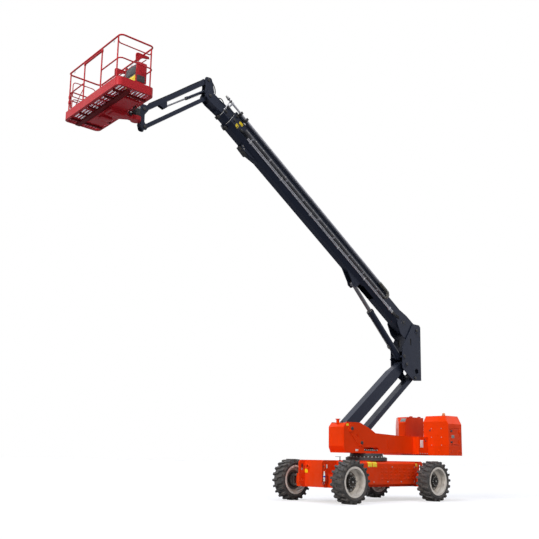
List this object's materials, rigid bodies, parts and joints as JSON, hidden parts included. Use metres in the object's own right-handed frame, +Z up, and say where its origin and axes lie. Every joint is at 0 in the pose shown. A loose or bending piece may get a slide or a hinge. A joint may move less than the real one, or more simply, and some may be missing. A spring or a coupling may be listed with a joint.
{
  "type": "articulating telescopic boom lift",
  "caption": "Articulating boom lift: four-wheel chassis, turning platform base, parallelogram riser, telescopic upper boom, jib and guarded work platform.",
  "frame": {"origin": "bottom centre of the whole machine's box as parked in the picture's pose", "axes": "+X along the chassis towards the work platform, +Y to the machine's left, +Z up"},
  "size_m": [11.6747, 2.625, 10.232],
  "materials": {
    "orange_paint": "satin",
    "orange_sheet": "gloss",
    "slate_paint": "satin",
    "red_paint": "satin",
    "grey_paint": "satin",
    "dark_steel": "matte",
    "tyre_rubber": "matte",
    "wheel_paint": "satin",
    "bright_rod": "polished",
    "galvanised": "satin",
    "black_plastic": "matte",
    "chain_plastic": "matte",
    "amber_lens": "gloss",
    "engine_iron": "matte",
    "console_plastic": "matte"
  },
  "bodies": {
    "chassis": {"chassis_frame": "orange_paint", "front_axle": "orange_paint", "rear_axle": "orange_paint", "slew_ring": "dark_steel"},
    "turntable": {"turntable_frame": "orange_paint", "front_tank": "orange_paint", "counterweight": "orange_paint", "left_cabinet": "orange_sheet", "engine_bay_wall": "orange_sheet", "engine_block": "engine_iron", "beacon": "amber_lens"},
    "cabinet_door": {"cabinet_door": "orange_sheet"},
    "engine_hood": {"engine_hood": "orange_sheet"},
    "riser": {"riser_beam": "slate_paint"},
    "riser_link": {"riser_link": "slate_paint"},
    "upright": {"upright": "slate_paint"},
    "boom": {"boom_base": "slate_paint", "chain_tray": "galvanised", "tube_guides": "dark_steel", "side_tubes": "galvanised"},
    "boom_mid": {"boom_mid": "slate_paint", "push_tube": "galvanised", "energy_chain": "chain_plastic"},
    "boom_fly": {"boom_fly": "slate_paint"},
    "lift_cylinder": {"lift_cylinder": "slate_paint"},
    "lift_rod": {"lift_rod": "bright_rod"},
    "jib_base": {"jib_base": "slate_paint"},
    "jib_beam": {"jib_beam": "slate_paint"},
    "jib_link": {"jib_link": "slate_paint"},
    "jib_cylinder": {"jib_cylinder": "slate_paint"},
    "jib_rod": {"jib_rod": "bright_rod"},
    "jib_head": {"jib_head": "slate_paint", "rotator": "dark_steel"},
    "platform": {"platform_support": "red_paint", "platform_floor": "red_paint", "platform_rails": "red_paint", "control_box": "console_plastic"},
    "entry_bar": {"entry_bar": "red_paint"},
    "platform_gate": {"platform_gate": "red_paint"},
    "knuckle_front_left": {"knuckle_front_left": "dark_steel"},
    "wheel_front_left": {"tyre_front_left": "tyre_rubber", "rim_front_left": "wheel_paint", "wheel_hub_front_left": "grey_paint"},
    "knuckle_front_right": {"knuckle_front_right": "dark_steel"},
    "wheel_front_right": {"tyre_front_right": "tyre_rubber", "rim_front_right": "wheel_paint", "wheel_hub_front_right": "grey_paint"},
    "knuckle_rear_left": {"knuckle_rear_left": "dark_steel"},
    "wheel_rear_left": {"tyre_rear_left": "tyre_rubber", "rim_rear_left": "wheel_paint", "wheel_hub_rear_left": "grey_paint"},
    "knuckle_rear_right": {"knuckle_rear_right": "dark_steel"},
    "wheel_rear_right": {"tyre_rear_right": "tyre_rubber", "rim_rear_right": "wheel_paint", "wheel_hub_rear_right": "grey_paint"}
  },
  "joints": [
    {"name": "steer_front_left", "type": "hinge", "parent": "chassis", "child": "knuckle_front_left", "pos_m": [-1.11749, 0.8725, 0.53678], "axis": [0, 0, 1], "range_deg": [-25, 25]},
    {"name": "wheel_spin_front_left", "type": "hinge", "parent": "knuckle_front_left", "child": "wheel_front_left", "pos_m": [-1.11749, 1.1325, 0.53678], "axis": [0, 1, 0], "continuous": true},
    {"name": "steer_front_right", "type": "hinge", "parent": "chassis", "child": "knuckle_front_right", "pos_m": [-1.11749, -0.7375, 0.53678], "axis": [0, 0, 1], "range_deg": [-25, 25]},
    {"name": "wheel_spin_front_right", "type": "hinge", "parent": "knuckle_front_right", "child": "wheel_front_right", "pos_m": [-1.11749, -0.9975, 0.53678], "axis": [0, 1, 0], "continuous": true},
    {"name": "steer_rear_left", "type": "hinge", "parent": "chassis", "child": "knuckle_rear_left", "pos_m": [-4.41749, 0.8725, 0.53678], "axis": [0, 0, 1], "range_deg": [-25, 25]},
    {"name": "wheel_spin_rear_left", "type": "hinge", "parent": "knuckle_rear_left", "child": "wheel_rear_left", "pos_m": [-4.41749, 1.1325, 0.53678], "axis": [0, 1, 0], "continuous": true},
    {"name": "steer_rear_right", "type": "hinge", "parent": "chassis", "child": "knuckle_rear_right", "pos_m": [-4.41749, -0.7375, 0.53678], "axis": [0, 0, 1], "range_deg": [-25, 25]},
    {"name": "wheel_spin_rear_right", "type": "hinge", "parent": "knuckle_rear_right", "child": "wheel_rear_right", "pos_m": [-4.41749, -0.9975, 0.53678], "axis": [0, 1, 0], "continuous": true},
    {"name": "turntable_slew", "type": "hinge", "parent": "chassis", "child": "turntable", "pos_m": [-2.88749, 0.0675, 1.14708], "axis": [0, 0, 1], "continuous": true},
    {"name": "cabinet_door_swing", "type": "hinge", "parent": "turntable", "child": "cabinet_door", "pos_m": [-5.45749, 1.2825, 1.76178], "axis": [0, 0, 1], "range_deg": [0, 100]},
    {"name": "engine_hood_lift", "type": "hinge", "parent": "turntable", "child": "engine_hood", "pos_m": [-4.97249, -0.2685, 2.36778], "axis": [-1, 0, 0], "range_deg": [0, 65]},
    {"name": "riser_lift", "type": "hinge", "parent": "turntable", "child": "riser", "pos_m": [-2.01749, 0.0675, 1.88678], "axis": [0, 1, 0], "range_deg": [-36, 36]},
    {"name": "riser_link_lift", "type": "hinge", "parent": "turntable", "child": "riser_link", "pos_m": [-2.39249, 0.0675, 1.52178], "axis": [0, 1, 0], "range_deg": [-36.5, 36.5]},
    {"name": "upright_level", "type": "hinge", "parent": "riser", "child": "upright", "pos_m": [-4.38749, 0.0675, 3.81678], "axis": [0, 1, 0], "range_deg": [-36.5, 36.5]},
    {"name": "boom_lift", "type": "hinge", "parent": "upright", "child": "boom", "pos_m": [-4.86749, 0.0675, 4.85678], "axis": [0, -1, 0], "range_deg": [-33.8, 41.2]},
    {"name": "boom_extend", "type": "slide", "parent": "boom", "child": "boom_mid", "axis": [0.831, 0, 0.5563], "range_m": [0, 4]},
    {"name": "boom_fly_extend", "type": "slide", "parent": "boom_mid", "child": "boom_fly", "axis": [0.831, 0, 0.5563], "range_m": [0, 4]},
    {"name": "lift_cylinder_swing", "type": "hinge", "parent": "upright", "child": "lift_cylinder", "pos_m": [-4.27749, 0.0675, 4.03678], "axis": [0, -1, 0], "range_deg": [-31.77, 38.61]},
    {"name": "lift_rod_extend", "type": "slide", "parent": "lift_cylinder", "child": "lift_rod", "axis": [0.7124, 0, 0.7018], "range_m": [-0.5645, 0.6859]},
    {"name": "jib_base_level", "type": "hinge", "parent": "boom_fly", "child": "jib_base", "pos_m": [2.80251, 0.0675, 9.73678], "axis": [0, -1, 0], "range_deg": [-41.7, 34.3]},
    {"name": "jib_lift", "type": "hinge", "parent": "jib_base", "child": "jib_beam", "pos_m": [2.83251, 0.0675, 10.15678], "axis": [0, -1, 0], "range_deg": [-22.9, 77.1]},
    {"name": "jib_link_lift", "type": "hinge", "parent": "jib_base", "child": "jib_link", "pos_m": [2.80251, 0.0675, 9.73678], "axis": [0, -1, 0], "range_deg": [-23.4, 77.6]},
    {"name": "jib_head_level", "type": "hinge", "parent": "jib_beam", "child": "jib_head", "pos_m": [4.59199, 0.0675, 8.82611], "axis": [0, -1, 0], "range_deg": [-77.6, 23.4]},
    {"name": "jib_cylinder_swing", "type": "hinge", "parent": "jib_base", "child": "jib_cylinder", "pos_m": [2.84251, 0.0675, 9.91178], "axis": [0, -1, 0], "range_deg": [-23.86, 79.14]},
    {"name": "jib_rod_extend", "type": "slide", "parent": "jib_cylinder", "child": "jib_rod", "axis": [0.8177, 0, -0.5756], "range_m": [-0.0899, 0.2791]},
    {"name": "platform_rotate", "type": "hinge", "parent": "jib_head", "child": "platform", "pos_m": [4.75799, 0.0675, 8.97711], "axis": [0, 0, 1], "range_deg": [-85, 85]},
    {"name": "entry_bar_lift", "type": "slide", "parent": "platform", "child": "entry_bar", "axis": [0, 0, -1], "range_m": [0, 0.35]},
    {"name": "platform_gate_swing", "type": "hinge", "parent": "platform", "child": "platform_gate", "pos_m": [5.79749, -1.1675, 9.26731], "axis": [0, 0, 1], "range_deg": [0, 90]}
  ],
  "couplings": [
    {"joint": "steer_front_right", "follows": "steer_front_left", "ratio": 1},
    {"joint": "steer_rear_right", "follows": "steer_rear_left", "ratio": 1},
    {"joint": "riser_link_lift", "follows": "riser_lift", "ratio": 1},
    {"joint": "upright_level", "follows": "riser_lift", "ratio": -1},
    {"joint": "boom_fly_extend", "follows": "boom_extend", "ratio": 1},
    {"joint": "lift_cylinder_swing", "follows": "boom_lift", "ratio": 0.925},
    {"joint": "lift_rod_extend", "follows": "boom_lift", "m_per_rad": 0.94},
    {"joint": "jib_base_level", "follows": "boom_lift", "ratio": -1},
    {"joint": "jib_link_lift", "follows": "jib_lift", "ratio": 1},
    {"joint": "jib_head_level", "follows": "jib_lift", "ratio": -1},
    {"joint": "jib_cylinder_swing", "follows": "jib_lift", "ratio": 1.02},
    {"joint": "jib_rod_extend", "follows": "jib_lift", "m_per_rad": 0.2}
  ]
}
